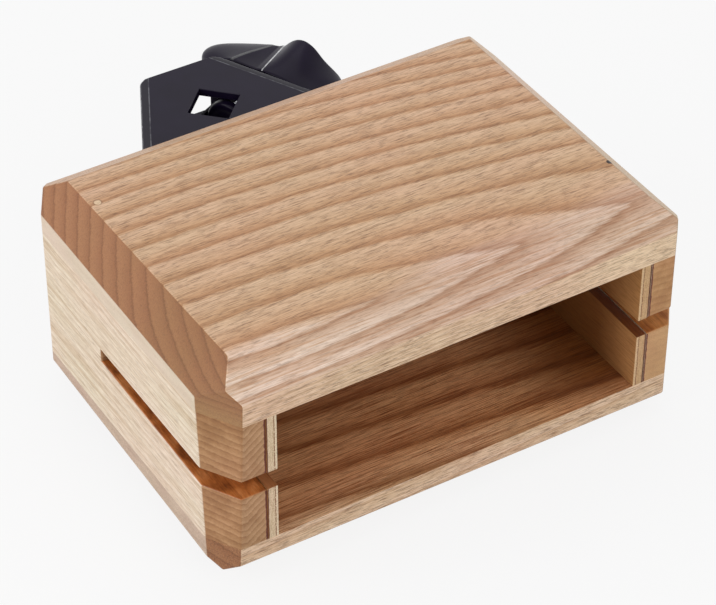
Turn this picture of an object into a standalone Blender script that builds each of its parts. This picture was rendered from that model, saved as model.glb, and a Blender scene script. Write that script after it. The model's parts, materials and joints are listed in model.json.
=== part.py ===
"""Wood block: a slotted ash box with an open mouth, and a rod clamp on its back.

The origin is the centre of the bottom face. +X runs to the right along the mouth, +Y points
from the mouth to the clamp and +Z is up. Every length is in metres.
"""
import bpy

for old_object in list(bpy.data.objects):
    bpy.data.objects.remove(old_object, do_unlink=True)

import bmesh
from math import acos, cos, pi, radians, sin, tan
from mathutils import Vector

# Clearances
GAP = 0.0003            # glue line or seat between two neighbouring pieces
OVERCUT = 0.0020        # how far a cutter runs past the face that it opens

# The box
WIDTH = 0.1500
DEPTH = 0.1093
HEIGHT = 0.0725
TOP_THICK = 0.0150
BOTTOM_THICK = 0.0150
WALL_THICK = 0.0139
LINER_THICK = 0.0032
BACK_THICK = 0.0140

# Chamfers round the two boards. They were sanded by hand, so most are a little wider at one end:
# each has its run inward, halfway along, and its run up or down at both ends
SIDE_CHAMFER_IN = 0.0092
LEFT_TOP_DROP_FRONT = 0.0100
LEFT_TOP_DROP_BACK = 0.0085
LEFT_BOTTOM_DROP_FRONT = 0.0081
LEFT_BOTTOM_DROP_BACK = 0.0117
RIGHT_CHAMFER_DROP = 0.0092
END_CHAMFER_IN = 0.0106
FRONT_TOP_DROP_LEFT = 0.0080
FRONT_TOP_DROP_RIGHT = 0.0071
FRONT_BOTTOM_DROP_LEFT = 0.0091
FRONT_BOTTOM_DROP_RIGHT = 0.0075
BACK_TOP_DROP_LEFT = 0.0074
BACK_TOP_DROP_RIGHT = 0.0068
BACK_BOTTOM_DROP = 0.0075

# Upright chamfers on the four corners, with the front left one leaning as it was sanded
CORNER_CUT_X = 0.0068
CORNER_CUT_Y = 0.0104
FRONT_RIGHT_CUT_X = 0.0063
FRONT_RIGHT_CUT_Y = 0.0082
LEANING_CUT_TOP_X = 0.0078
LEANING_CUT_TOP_Y = 0.0127
LEANING_CUT_BOTTOM_Y = 0.0083

# Saw kerfs through both side walls, open at the mouth and lower at their closed end
KERF_DEPTH = 0.0663
KERF_HEIGHT = 0.0058
KERF_END_HEIGHT = 0.0041
KERF_BOTTOM = 0.0328

# Clamp housing
CLAMP_DROP = 0.0173     # the screw's axis below the underside of the top board
HOUSING_HEIGHT = 0.0215
HOUSING_REACH = 0.0489
HOUSING_BACK_WIDTH = 0.0266
HOUSING_SLANT = radians(26.8)
HOUSING_WALL = 0.0042
HOUSING_CORNER_RADIUS = 0.0030
PLATE_THICK = 0.0026
PLATE_OVERHANG = 0.0018
EDGE_STRIP_WIDTH = 0.0026
EDGE_STRIP_DROP = 0.0005
FLANGE_WIDTH = 0.0900
FLANGE_HEIGHT = 0.0400
FLANGE_THICK = 0.0035
FLANGE_RADIUS = 0.0050

# Square socket for the upright rod, turned by an eighth of a turn
SOCKET_SIDE = 0.0126
SOCKET_REACH = 0.0270   # the rod's axis behind the back face

# Wood screws that hold the flange
SCREW_INSET = 0.0060    # from the flange's edges
SCREW_SHANK_RADIUS = 0.0017
SCREW_HEAD_RADIUS = 0.0030
SCREW_HEAD_HEIGHT = 0.0022
SCREW_LENGTH = 0.0150
SCREW_TIP_LENGTH = 0.0035

# Clamp screw with its nut, pad and knob, measured along the screw from the rod's axis
PAD_FACE = 0.0056
PAD_RADIUS = 0.0068
PAD_THICK = 0.0030
PAD_EDGE = 0.0006
PIVOT_RADIUS = 0.0021
PIVOT_LENGTH = 0.0018
THREAD_RADIUS = 0.0029
BOSS_LENGTH = 0.0068
BOSS_WIDTH = 0.0186
GUIDE_START = 0.0050    # the ribs on either side of the pad, as high as the screw's axis
GUIDE_INSIDE = 0.0080
GUIDE_THICK = 0.0012
NUT_ACROSS_FLATS = 0.0100
NUT_THICK = 0.0047
KNOB_STANDOFF = 0.0043
KNOB_BORE_DEPTH = 0.0110

# Wing knob
HUB_RADIUS = 0.0062
HUB_LENGTH = 0.0160
COLLAR_LENGTH = 0.0010   # how far the hub stands off the wings towards the bracket
WING_SPAN = 0.0265
WING_LENGTH = 0.0165
WING_TIP_LENGTH = 0.0070
WING_RISE = 0.0108      # how far each lobe stands off the middle
WING_ROUNDING = 0.0025

FRONT = -DEPTH / 2
BACK = DEPTH / 2
SIDE = WIDTH / 2
CEILING = HEIGHT - TOP_THICK
CLAMP_HEIGHT = CEILING - CLAMP_DROP
FLANGE_FRONT = BACK + GAP
FLANGE_BACK = FLANGE_FRONT + FLANGE_THICK
SOCKET_Y = BACK + SOCKET_REACH
HOUSING_BACK = BACK + HOUSING_REACH
WALL_OUTSIDE = (HOUSING_BACK_WIDTH / 2 * cos(HOUSING_SLANT)
                + (HOUSING_BACK - SOCKET_Y) * sin(HOUSING_SLANT))
BOSS_FACE = WALL_OUTSIDE - BOSS_LENGTH
PAD_BACK = PAD_FACE + PAD_THICK
KNOB_FACE = WALL_OUTSIDE + KNOB_STANDOFF


def make_material(name, color, roughness, metallic=0.0):
    material = bpy.data.materials.new(name)
    material.use_nodes = True
    shader = material.node_tree.nodes["Principled BSDF"]
    shader.inputs["Base Color"].default_value = (*color, 1.0)
    shader.inputs["Roughness"].default_value = roughness
    shader.inputs["Metallic"].default_value = metallic
    material.diffuse_color = (*color, 1.0)
    return material


ASH = make_material("ash", (0.56, 0.36, 0.21), 0.55)
PALE_ASH = make_material("pale_ash", (0.72, 0.56, 0.38), 0.55)
PLYWOOD = make_material("plywood", (0.70, 0.53, 0.34), 0.6)
BLACK_PLASTIC = make_material("black_plastic", (0.035, 0.034, 0.040), 0.4)
STEEL = make_material("steel", (0.60, 0.60, 0.62), 0.3, 1.0)


def make_object(name, bm, material=None, parent=None):
    """Turn a bmesh into a named object with its faces pointing out."""
    bmesh.ops.recalc_face_normals(bm, faces=bm.faces[:])
    mesh = bpy.data.meshes.new(name)
    bm.to_mesh(mesh)
    bm.free()
    if material:
        mesh.materials.append(material)
    made = bpy.data.objects.new(name, mesh)
    bpy.context.scene.collection.objects.link(made)
    made.parent = parent
    return made


def make_cutter(name, bm, parent=None):
    cutter = make_object(name, bm, parent=parent)
    cutter.hide_render = True
    cutter.display_type = "WIRE"
    return cutter


def combine(target, tool, operation="DIFFERENCE"):
    modifier = target.modifiers.new(tool.name, "BOOLEAN")
    modifier.operation = operation
    modifier.object = tool


def shade_round(target, angle=radians(35.0)):
    target.data.shade_smooth()
    target.data.set_sharp_from_angle(angle=angle)


def box(low, high):
    """A box between two corners."""
    bm = bmesh.new()
    bmesh.ops.create_cube(bm, size=1.0)
    for vert in bm.verts:
        for axis in range(3):
            vert.co[axis] = high[axis] if vert.co[axis] > 0 else low[axis]
    return bm


def prism(outline, low, high, place):
    """Extrude an outline; place turns (u, v, height) into a point."""
    bm = bmesh.new()
    start = [bm.verts.new(place(u, v, low)) for u, v in outline]
    end = [bm.verts.new(place(u, v, high)) for u, v in outline]
    bm.faces.new(start)
    bm.faces.new(end)
    for index in range(len(outline)):
        after = (index + 1) % len(outline)
        bm.faces.new((start[index], start[after], end[after], end[index]))
    return bm


def upright(u, v, height):
    return Vector((u, v, height))


def along_x(u, v, height):
    return Vector((height, u, v))


def along_y(u, v, height):
    return Vector((u, height, v))


def lathe(profile, place, sides):
    """Turn a closed (radius, height) profile about its axis; both its ends are on the axis."""
    bm = bmesh.new()
    rings = []
    for radius, height in profile:
        if radius == 0:
            rings.append([bm.verts.new(place(0, 0, height))])
            continue
        angles = [2 * pi * step / sides for step in range(sides)]
        rings.append([bm.verts.new(place(radius * cos(a), radius * sin(a), height)) for a in angles])
    for lower, upper in zip(rings, rings[1:]):
        for step in range(sides):
            after = (step + 1) % sides
            corners = [lower[step % len(lower)], lower[after % len(lower)],
                       upper[after % len(upper)], upper[step % len(upper)]]
            bm.faces.new(list(dict.fromkeys(corners)))
    return bm


def rounded(corners, radius, steps=4):
    """Replace each corner of an outline with an arc, smaller where the sides are short."""
    outline = []
    for index, corner in enumerate(corners):
        here = Vector(corner)
        before = Vector(corners[index - 1]) - here
        after = Vector(corners[(index + 1) % len(corners)]) - here
        half_angle = acos(before.normalized().dot(after.normalized())) / 2
        reach = min(radius / tan(half_angle), 0.45 * before.length, 0.45 * after.length)
        arc_radius = reach * tan(half_angle)
        middle = (before.normalized() + after.normalized()).normalized()
        centre = here + middle * arc_radius / sin(half_angle)
        first = here + before.normalized() * reach - centre
        last = here + after.normalized() * reach - centre
        for step in range(steps + 1):
            spoke = first.lerp(last, step / steps).normalized()
            outline.append(tuple(centre + spoke * arc_radius))
    return outline


def slice_off(bm, point, normal):
    """Cut away what lies beyond a plane and close the cut with a flat face."""
    geometry = bm.verts[:] + bm.edges[:] + bm.faces[:]
    cut = bmesh.ops.bisect_plane(bm, geom=geometry, plane_co=point, plane_no=normal, clear_outer=True)
    rim = [item for item in cut["geom_cut"] if isinstance(item, bmesh.types.BMEdge)]
    if rim:
        bmesh.ops.edgeloop_fill(bm, edges=rim)


def plane_through(first, second, third):
    """A cut through three points, as one of them and the normal that points out of the box."""
    normal = (second - first).cross(third - first)
    outward = first - Vector((0, 0, HEIGHT / 2))
    return first, normal if normal.dot(outward) > 0 else -normal


def leaning_corner():
    """The front left corner's cut, which takes less off the bottom than off the top."""
    return plane_through(Vector((-SIDE, FRONT + LEANING_CUT_TOP_Y, HEIGHT)),
                         Vector((-SIDE + LEANING_CUT_TOP_X, FRONT, HEIGHT)),
                         Vector((-SIDE, FRONT + LEANING_CUT_BOTTOM_Y, 0)))


def side_chamfer(side, level, up, drop_front, drop_back):
    """The chamfer along the left or right edge of the box's top or bottom face."""
    return plane_through(Vector((side * SIDE, FRONT, level - up * drop_front)),
                         Vector((side * SIDE, BACK, level - up * drop_back)),
                         Vector((side * (SIDE - SIDE_CHAMFER_IN), 0, level)))


def end_chamfer(end, level, up, drop_left, drop_right):
    """The chamfer along the front or back edge of the box's top or bottom face."""
    return plane_through(Vector((-SIDE, end * BACK, level - up * drop_left)),
                         Vector((SIDE, end * BACK, level - up * drop_right)),
                         Vector((0, end * (BACK - END_CHAMFER_IN), level)))


def corner_chamfer(side, end, cut_x, cut_y):
    """An upright chamfer on one corner."""
    return Vector((side * SIDE, end * (BACK - cut_y), 0)), Vector((side * cut_y, end * cut_x, 0))


def chamfer_planes():
    """Every chamfer of the box, as a point on it and its outward normal."""
    return [
        leaning_corner(),
        side_chamfer(-1, HEIGHT, 1, LEFT_TOP_DROP_FRONT, LEFT_TOP_DROP_BACK),
        side_chamfer(-1, 0, -1, LEFT_BOTTOM_DROP_FRONT, LEFT_BOTTOM_DROP_BACK),
        side_chamfer(1, HEIGHT, 1, RIGHT_CHAMFER_DROP, RIGHT_CHAMFER_DROP),
        side_chamfer(1, 0, -1, RIGHT_CHAMFER_DROP, RIGHT_CHAMFER_DROP),
        end_chamfer(-1, HEIGHT, 1, FRONT_TOP_DROP_LEFT, FRONT_TOP_DROP_RIGHT),
        end_chamfer(-1, 0, -1, FRONT_BOTTOM_DROP_LEFT, FRONT_BOTTOM_DROP_RIGHT),
        end_chamfer(1, HEIGHT, 1, BACK_TOP_DROP_LEFT, BACK_TOP_DROP_RIGHT),
        end_chamfer(1, 0, -1, BACK_BOTTOM_DROP, BACK_BOTTOM_DROP),
        corner_chamfer(1, -1, FRONT_RIGHT_CUT_X, FRONT_RIGHT_CUT_Y),
        corner_chamfer(1, 1, CORNER_CUT_X, CORNER_CUT_Y),
        corner_chamfer(-1, 1, CORNER_CUT_X, CORNER_CUT_Y),
    ]


def make_board(name, low, high, material):
    """A piece of the box, with the box's chamfers where they cross it."""
    bm = box(low, high)
    for point, normal in chamfer_planes():
        slice_off(bm, point, normal)
    return make_object(name, bm, material)


def kerf_outline():
    """A kerf seen from the side: its lower face climbs towards the closed end."""
    top = KERF_BOTTOM + KERF_HEIGHT
    end = FRONT + KERF_DEPTH
    climb = (KERF_HEIGHT - KERF_END_HEIGHT) / KERF_DEPTH
    return [(FRONT - OVERCUT, KERF_BOTTOM - climb * OVERCUT), (end, top - KERF_END_HEIGHT),
            (end, top), (FRONT - OVERCUT, top)]


def make_box():
    """The boards, walls and liners. Returns the back wall, which the screws enter."""
    make_board("bottom_board", (-SIDE, FRONT, 0), (SIDE, BACK, BOTTOM_THICK), ASH)
    make_board("top_board", (-SIDE, FRONT, CEILING), (SIDE, BACK, HEIGHT), ASH)
    low = BOTTOM_THICK + GAP
    high = CEILING - GAP
    inner = SIDE - WALL_THICK
    liner_inner = inner - GAP - LINER_THICK
    for name, side in (("left", -1), ("right", 1)):
        edges = sorted((side * inner, side * SIDE))
        wall = make_board(name + "_wall", (edges[0], FRONT, low), (edges[1], BACK, high), PALE_ASH)
        edges = sorted((side * liner_inner, side * (inner - GAP)))
        liner_end = BACK - BACK_THICK - GAP
        liner = make_board(name + "_liner", (edges[0], FRONT, low), (edges[1], liner_end, high), PLYWOOD)
        edges = sorted((side * (liner_inner - OVERCUT), side * (SIDE + OVERCUT)))
        kerf_cutter = make_cutter(name + "_kerf_cutter", prism(kerf_outline(), *edges, along_x))
        combine(wall, kerf_cutter)
        combine(liner, kerf_cutter)
    across = inner - GAP
    return make_board("back_wall", (-across, BACK - BACK_THICK, low), (across, BACK, high), ASH)


def make_clamp_frame():
    """An empty on the rod's axis whose X axis runs out along the clamp screw."""
    frame = bpy.data.objects.new("clamp_frame", None)
    bpy.context.scene.collection.objects.link(frame)
    frame.location = (0, SOCKET_Y, CLAMP_HEIGHT)
    frame.rotation_euler.z = HOUSING_SLANT
    return frame


def housing_outline(inset, back):
    """Half width at the flange and at the given back line, for walls moved in by inset."""
    shift = inset / cos(HOUSING_SLANT)
    front_half = HOUSING_BACK_WIDTH / 2 + (HOUSING_BACK - FLANGE_FRONT) * tan(HOUSING_SLANT) - shift
    back_half = HOUSING_BACK_WIDTH / 2 + (HOUSING_BACK - back) * tan(HOUSING_SLANT) - shift
    return front_half, back_half


def make_housing_shell():
    """The tapering prism whose slanted edges carry a lowered strip, top and bottom."""
    front_half, back_half = housing_outline(0, HOUSING_BACK)
    bottom = CLAMP_HEIGHT - HOUSING_HEIGHT / 2
    top = CLAMP_HEIGHT + HOUSING_HEIGHT / 2
    trapezoid = [(-front_half, FLANGE_FRONT), (front_half, FLANGE_FRONT),
                 (back_half, HOUSING_BACK), (-back_half, HOUSING_BACK)]
    rounded_trapezoid = rounded(trapezoid, HOUSING_CORNER_RADIUS)
    arc = len(rounded_trapezoid) // 2
    bm = prism(trapezoid[:2] + rounded_trapezoid[arc:], bottom, top, upright)
    for side in (-1, 1):
        for face_z, up in ((top, 1), (bottom, -1)):
            point = Vector((side * back_half, HOUSING_BACK, face_z - up * EDGE_STRIP_DROP))
            outward = Vector((side * cos(HOUSING_SLANT), sin(HOUSING_SLANT), 0))
            normal = outward * EDGE_STRIP_DROP + Vector((0, 0, up * EDGE_STRIP_WIDTH))
            slice_off(bm, point, normal)
    return make_object("bracket_housing", bm, BLACK_PLASTIC)


def make_housing_hollow():
    """The space between the two plates, open at the back past the ends of the walls."""
    bottom = CLAMP_HEIGHT - HOUSING_HEIGHT / 2 + PLATE_THICK
    top = CLAMP_HEIGHT + HOUSING_HEIGHT / 2 - PLATE_THICK
    wall_end = HOUSING_BACK - PLATE_OVERHANG
    front_half = housing_outline(HOUSING_WALL, HOUSING_BACK)[0] - FLANGE_THICK * tan(HOUSING_SLANT)
    back_half = housing_outline(HOUSING_WALL, wall_end)[1]
    outside = front_half + HOUSING_WALL + OVERCUT
    outline = [(-front_half, FLANGE_BACK), (front_half, FLANGE_BACK), (back_half, wall_end),
               (outside, wall_end), (outside, HOUSING_BACK + OVERCUT),
               (-outside, HOUSING_BACK + OVERCUT), (-outside, wall_end), (-back_half, wall_end)]
    return make_cutter("housing_hollow", prism(outline, bottom, top, upright))


def screw_places():
    reach_x = FLANGE_WIDTH / 2 - SCREW_INSET
    reach_z = FLANGE_HEIGHT / 2 - SCREW_INSET
    for side in (-1, 1):
        for level in (-1, 1):
            yield side * reach_x, CLAMP_HEIGHT + level * reach_z


def hexagon(across_flats):
    corner = across_flats / 2 / cos(pi / 6)
    return [(corner * cos(pi / 3 * step), corner * sin(pi / 3 * step)) for step in range(6)]


def make_bracket(clamp_frame):
    """The moulded bracket: flange, tapering housing, screw boss and rod socket in one piece."""
    housing = make_housing_shell()
    combine(housing, make_housing_hollow())

    half_width = FLANGE_WIDTH / 2
    low = CLAMP_HEIGHT - FLANGE_HEIGHT / 2
    high = CLAMP_HEIGHT + FLANGE_HEIGHT / 2
    corners = [(-half_width, low), (half_width, low), (half_width, high), (-half_width, high)]
    flange = prism(rounded(corners, FLANGE_RADIUS), FLANGE_FRONT, FLANGE_BACK, along_y)
    combine(housing, make_cutter("flange_body", flange), "UNION")

    boss_half = BOSS_WIDTH / 2
    boss_height = HOUSING_HEIGHT / 2 - PLATE_THICK / 2
    boss = box((BOSS_FACE, -boss_half, -boss_height),
               (WALL_OUTSIDE - HOUSING_WALL / 2, boss_half, boss_height))
    combine(housing, make_cutter("boss_body", boss, clamp_frame), "UNION")
    for side in (-1, 1):
        edges = sorted((side * GUIDE_INSIDE, side * (GUIDE_INSIDE + GUIDE_THICK)))
        guide = box((GUIDE_START, edges[0], -boss_height), (BOSS_FACE + GUIDE_THICK, edges[1], 0))
        combine(housing, make_cutter(f"guide_body{side:+d}", guide, clamp_frame), "UNION")

    reach = SOCKET_SIDE / 2 * 2 ** 0.5
    diamond = [(reach, SOCKET_Y), (0, SOCKET_Y + reach), (-reach, SOCKET_Y), (0, SOCKET_Y - reach)]
    beyond = HOUSING_HEIGHT / 2 + OVERCUT
    socket = prism(diamond, CLAMP_HEIGHT - beyond, CLAMP_HEIGHT + beyond, upright)
    combine(housing, make_cutter("socket_cutter", socket))

    pocket_floor = BOSS_FACE + NUT_THICK + 2 * GAP
    pocket = prism(hexagon(NUT_ACROSS_FLATS + 2 * GAP), BOSS_FACE - OVERCUT, pocket_floor, along_x)
    combine(housing, make_cutter("nut_pocket_cutter", pocket, clamp_frame))
    bore_start = pocket_floor - OVERCUT
    bore_end = WALL_OUTSIDE + OVERCUT
    bore_radius = THREAD_RADIUS + GAP
    bore = lathe([(0, bore_start), (bore_radius, bore_start), (bore_radius, bore_end), (0, bore_end)],
                 along_x, 24)
    combine(housing, make_cutter("screw_bore_cutter", bore, clamp_frame))
    return housing


def make_wood_screws(back_wall, housing):
    """Four pan-head screws through the flange into the back wall, in their own holes."""
    seat = FLANGE_BACK + GAP
    head_top = seat + SCREW_HEAD_HEIGHT
    tip = head_top - SCREW_HEAD_HEIGHT - SCREW_LENGTH
    dome = [(SCREW_HEAD_RADIUS * cos(a), seat + SCREW_HEAD_HEIGHT * sin(a))
            for a in (0, radians(30), radians(60))]
    profile = [(0, tip), (SCREW_SHANK_RADIUS, tip + SCREW_TIP_LENGTH), (SCREW_SHANK_RADIUS, seat),
               *dome, (0, head_top)]
    hole_radius = SCREW_SHANK_RADIUS + GAP
    hole_profile = [(0, tip - GAP), (hole_radius, tip - GAP),
                    (hole_radius, seat + OVERCUT), (0, seat + OVERCUT)]
    for number, (x, z) in enumerate(screw_places(), start=1):
        screw = make_object(f"bracket_screw_{number}", lathe(profile, along_y, 16), STEEL)
        screw.location = (x, 0, z)
        shade_round(screw)
        hole = make_cutter(f"screw_hole_cutter_{number}", lathe(hole_profile, along_y, 16))
        hole.location = (x, 0, z)
        combine(back_wall, hole)
        combine(housing, hole)


def make_clamp_screw(clamp_frame):
    """Nut, threaded screw and the pad that the screw pushes against the rod."""
    nut_start = BOSS_FACE + GAP
    nut = prism(hexagon(NUT_ACROSS_FLATS), nut_start, nut_start + NUT_THICK, along_x)
    nut = make_object("clamp_nut", nut, STEEL, clamp_frame)
    bore_radius = THREAD_RADIUS + GAP
    start = nut_start - OVERCUT
    end = nut_start + NUT_THICK + OVERCUT
    bore = lathe([(0, start), (bore_radius, start), (bore_radius, end), (0, end)], along_x, 24)
    combine(nut, make_cutter("nut_bore_cutter", bore, clamp_frame))

    pivot_tip = PAD_BACK - PIVOT_LENGTH
    thread_start = PAD_BACK + GAP
    thread_end = KNOB_FACE + KNOB_BORE_DEPTH - GAP
    profile = [(0, pivot_tip + GAP), (PIVOT_RADIUS, pivot_tip + GAP), (PIVOT_RADIUS, thread_start),
               (THREAD_RADIUS, thread_start), (THREAD_RADIUS, thread_end), (0, thread_end)]
    screw = make_object("clamp_screw", lathe(profile, along_x, 24), STEEL, clamp_frame)
    shade_round(screw)

    seat_radius = PIVOT_RADIUS + GAP
    profile = [(0, PAD_FACE), (PAD_RADIUS - PAD_EDGE, PAD_FACE), (PAD_RADIUS, PAD_FACE + PAD_EDGE),
               (PAD_RADIUS, PAD_BACK), (seat_radius, PAD_BACK), (seat_radius, pivot_tip), (0, pivot_tip)]
    pad = make_object("pressure_pad", lathe(profile, along_x, 32), BLACK_PLASTIC, clamp_frame)
    shade_round(pad)


def wing_side_view():
    """Outline seen along the screw: two lobes set off to opposite sides of the middle."""
    lower_lobe = [(WING_SPAN, 0.0020), (0.62 * WING_SPAN, 0.0044), (0.35 * WING_SPAN, 0.0062)]
    valley = (0.0020, 0.0066)
    raised_lobe = [(-0.13 * WING_SPAN, WING_RISE), (-0.30 * WING_SPAN, WING_RISE),
                   (-0.48 * WING_SPAN, 0.0070), (-0.85 * WING_SPAN, 0.0042), (-WING_SPAN, 0.0018)]
    upper = [*lower_lobe, valley, *raised_lobe]
    return upper + [(-across, -height) for across, height in upper]


def wing_plan_view():
    """Outline seen from above the wings: full length at the hub, narrower and rounded at the tips."""
    start = KNOB_FACE + COLLAR_LENGTH
    end = KNOB_FACE + WING_LENGTH
    tip_low = KNOB_FACE + (WING_LENGTH - WING_TIP_LENGTH) * 0.25
    tip_high = tip_low + WING_TIP_LENGTH
    right = [(WING_SPAN * 0.55, start), (WING_SPAN, tip_low), (WING_SPAN, tip_high), (WING_SPAN * 0.45, end)]
    return right + [(-across, along) for across, along in reversed(right)]


def make_wing_knob(clamp_frame):
    """The knob: two offset wings on a round hub, moulded over the end of the screw."""
    start = KNOB_FACE - OVERCUT
    end = KNOB_FACE + WING_LENGTH + OVERCUT
    wings = prism(rounded(wing_side_view(), WING_ROUNDING, 3), start, end, along_x)
    knob = make_object("wing_knob", wings, BLACK_PLASTIC, clamp_frame)
    reach = WING_SPAN
    plan = prism(rounded(wing_plan_view(), 2 * WING_ROUNDING), -reach, reach,
                 lambda across, along, height: Vector((along, across, height)))
    combine(knob, make_cutter("wing_plan_cutter", plan, clamp_frame), "INTERSECT")

    hub_end = KNOB_FACE + HUB_LENGTH
    profile = [(0, KNOB_FACE), (HUB_RADIUS - PAD_EDGE, KNOB_FACE), (HUB_RADIUS, KNOB_FACE + PAD_EDGE),
               (HUB_RADIUS, hub_end - PAD_EDGE), (HUB_RADIUS - PAD_EDGE, hub_end), (0, hub_end)]
    hub = make_cutter("hub_body", lathe(profile, along_x, 32), clamp_frame)
    combine(knob, hub, "UNION")

    bore_radius = THREAD_RADIUS + GAP
    bore_start = KNOB_FACE - OVERCUT
    bore_end = KNOB_FACE + KNOB_BORE_DEPTH
    bore = lathe([(0, bore_start), (bore_radius, bore_start), (bore_radius, bore_end), (0, bore_end)],
                 along_x, 24)
    combine(knob, make_cutter("knob_bore_cutter", bore, clamp_frame))
    return knob


rear_wall = make_box()
clamp = make_clamp_frame()
bracket = make_bracket(clamp)
make_wood_screws(rear_wall, bracket)
make_clamp_screw(clamp)
make_wing_knob(clamp)
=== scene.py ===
import json
from math import atan2, cos, pi, radians, sin

import bmesh
import bpy
from mathutils import Matrix, Vector


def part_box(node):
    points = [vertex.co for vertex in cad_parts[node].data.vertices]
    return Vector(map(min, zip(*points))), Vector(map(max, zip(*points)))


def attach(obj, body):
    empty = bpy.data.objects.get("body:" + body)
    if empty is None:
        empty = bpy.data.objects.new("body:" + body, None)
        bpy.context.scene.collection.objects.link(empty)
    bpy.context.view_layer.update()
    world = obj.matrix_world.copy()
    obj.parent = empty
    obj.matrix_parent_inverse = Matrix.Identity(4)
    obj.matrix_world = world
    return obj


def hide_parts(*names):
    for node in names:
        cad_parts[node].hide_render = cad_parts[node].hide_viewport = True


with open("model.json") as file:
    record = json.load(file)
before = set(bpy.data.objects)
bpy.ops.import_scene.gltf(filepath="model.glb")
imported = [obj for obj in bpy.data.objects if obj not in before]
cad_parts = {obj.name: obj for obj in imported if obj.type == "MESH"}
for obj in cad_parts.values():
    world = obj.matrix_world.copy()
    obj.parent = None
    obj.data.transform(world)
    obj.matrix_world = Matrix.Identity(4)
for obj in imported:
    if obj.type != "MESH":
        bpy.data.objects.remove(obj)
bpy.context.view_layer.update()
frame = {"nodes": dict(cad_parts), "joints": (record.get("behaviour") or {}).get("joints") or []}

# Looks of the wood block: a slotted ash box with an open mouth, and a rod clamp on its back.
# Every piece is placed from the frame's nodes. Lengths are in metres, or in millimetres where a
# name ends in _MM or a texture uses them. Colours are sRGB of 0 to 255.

MM = 0.001
PER_MM = 1000.0         # turns object coordinates into millimetres for the textures
AXIS_X, AXIS_Y, AXIS_Z = 0, 1, 2

# Camera, fitted to the box's corners
CAMERA_AZIMUTH = radians(31.571)
CAMERA_ELEVATION = radians(39.376)
CAMERA_ROLL = radians(0.184)
CAMERA_AIM = Vector((0.001387, 0.001773, 0.029862))
CAMERA_DISTANCE = 0.803919
CAMERA_LENS = 142.59
SENSOR_WIDTH = 36.0

# Light
SKY_STRENGTH = 0.62
BACKGROUND_LEVEL = 0.947
FLOOR_COLOR = (236, 236, 237)
FLOOR_GLOW = 0.962
FLOOR_GLOW_SHARE = 0.90
FLOOR_SIZE = 12.0
LAMP_SIZE = 0.9
LAMP_AIM = Vector((0, 0, 0.04))
LAMPS = [("left_soft_box", (-1.2, 0.1, 0.7), 7.5),
         ("front_soft_box", (0.1, -1.3, 0.9), 4.2),
         ("top_soft_box", (0.2, 0.5, 1.3), 3.0)]

# Edges
BOARD_EDGE = 0.50 * MM
WALL_EDGE = 0.60 * MM
LINER_EDGE = 0.20 * MM
PLASTIC_EDGE = 0.40 * MM
SMOOTHING_ANGLE = radians(32)
ROUNDED_FROM = radians(14)          # wooden edges that turn by less stay as they are
MOULDED_FROM = radians(25)          # the same for the bracket's edges

# Reading the CAD meshes
MERGE_WITHIN = 0.002 * MM
FLAT_WITHIN = radians(0.6)
ON_PLANE_WITHIN = 0.01 * MM
STEP_WITHIN = 0.1 * MM              # less than any step in a clamp piece

# Clamp screw and nut
THREAD_PITCH = 1.0 * MM
THREAD_DEPTH = 0.55 * MM
THREAD_ROWS = 8                     # per turn
THREAD_SIDES = 32
THREAD_RUN_IN = 0.1 * MM            # how proud of the pivot the thread starts
PIVOT_CHAMFER = 0.2 * MM
NUT_CHAMFER = 0.8 * MM
NUT_SIDES = 72
# Share of the chamfer's depth, and the widest radius there as a share of the flats' one
NUT_CHAMFER_ROWS = [(0.0, 0.96), (0.25, 1.00), (0.5, 1.04), (0.75, 1.08), (1.0, 2.0)]

# Bracket
FLANGE_GAP = 0.3 * MM
PLATES_FROM = 15 * MM               # behind the box's back
OUTLINE_WITHIN = 1.0 * MM
STRIP_WIDTH_MM = 2.6

# Wing knob
HUB_RADIUS = 6.2 * MM
HUB_LENGTH = 16.0 * MM
HUB_EDGE = 0.6 * MM
HUB_SIDES = 16
KNOB_SUBDIVISIONS = 3

# Wood screws
HEAD_HEIGHT = 2.2 * MM
HEAD_RIM = 0.15 * MM
HEAD_CHAMFER = 0.1 * MM
HEAD_ROWS = 6
HEAD_SIDE = 0.2                     # share of its height below the dome
SHANK_RADIUS = 1.7 * MM
SHANK_SIDES = 32
TIP_LENGTH = 3.5 * MM
TIP_RADIUS = 0.15 * MM
HEAD_TOP_RADIUS = 1.75 * MM
RECESS_ARM = 1.35 * MM
RECESS_HALF_WIDTH = 0.32 * MM
RECESS_DEPTH = 1.0 * MM
RECESS_TAPER = 0.5

# Pressure pad
PAD_EDGE = 0.9 * MM
PAD_EDGE_ROWS = 4
PAD_SEAT_DEPTH = 1.8 * MM
PAD_DISH_ROWS = [(0.3 * MM, 0.45), (0.3 * MM, 0.60), (0.0, 0.70)]     # depth, share of the radius

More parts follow.
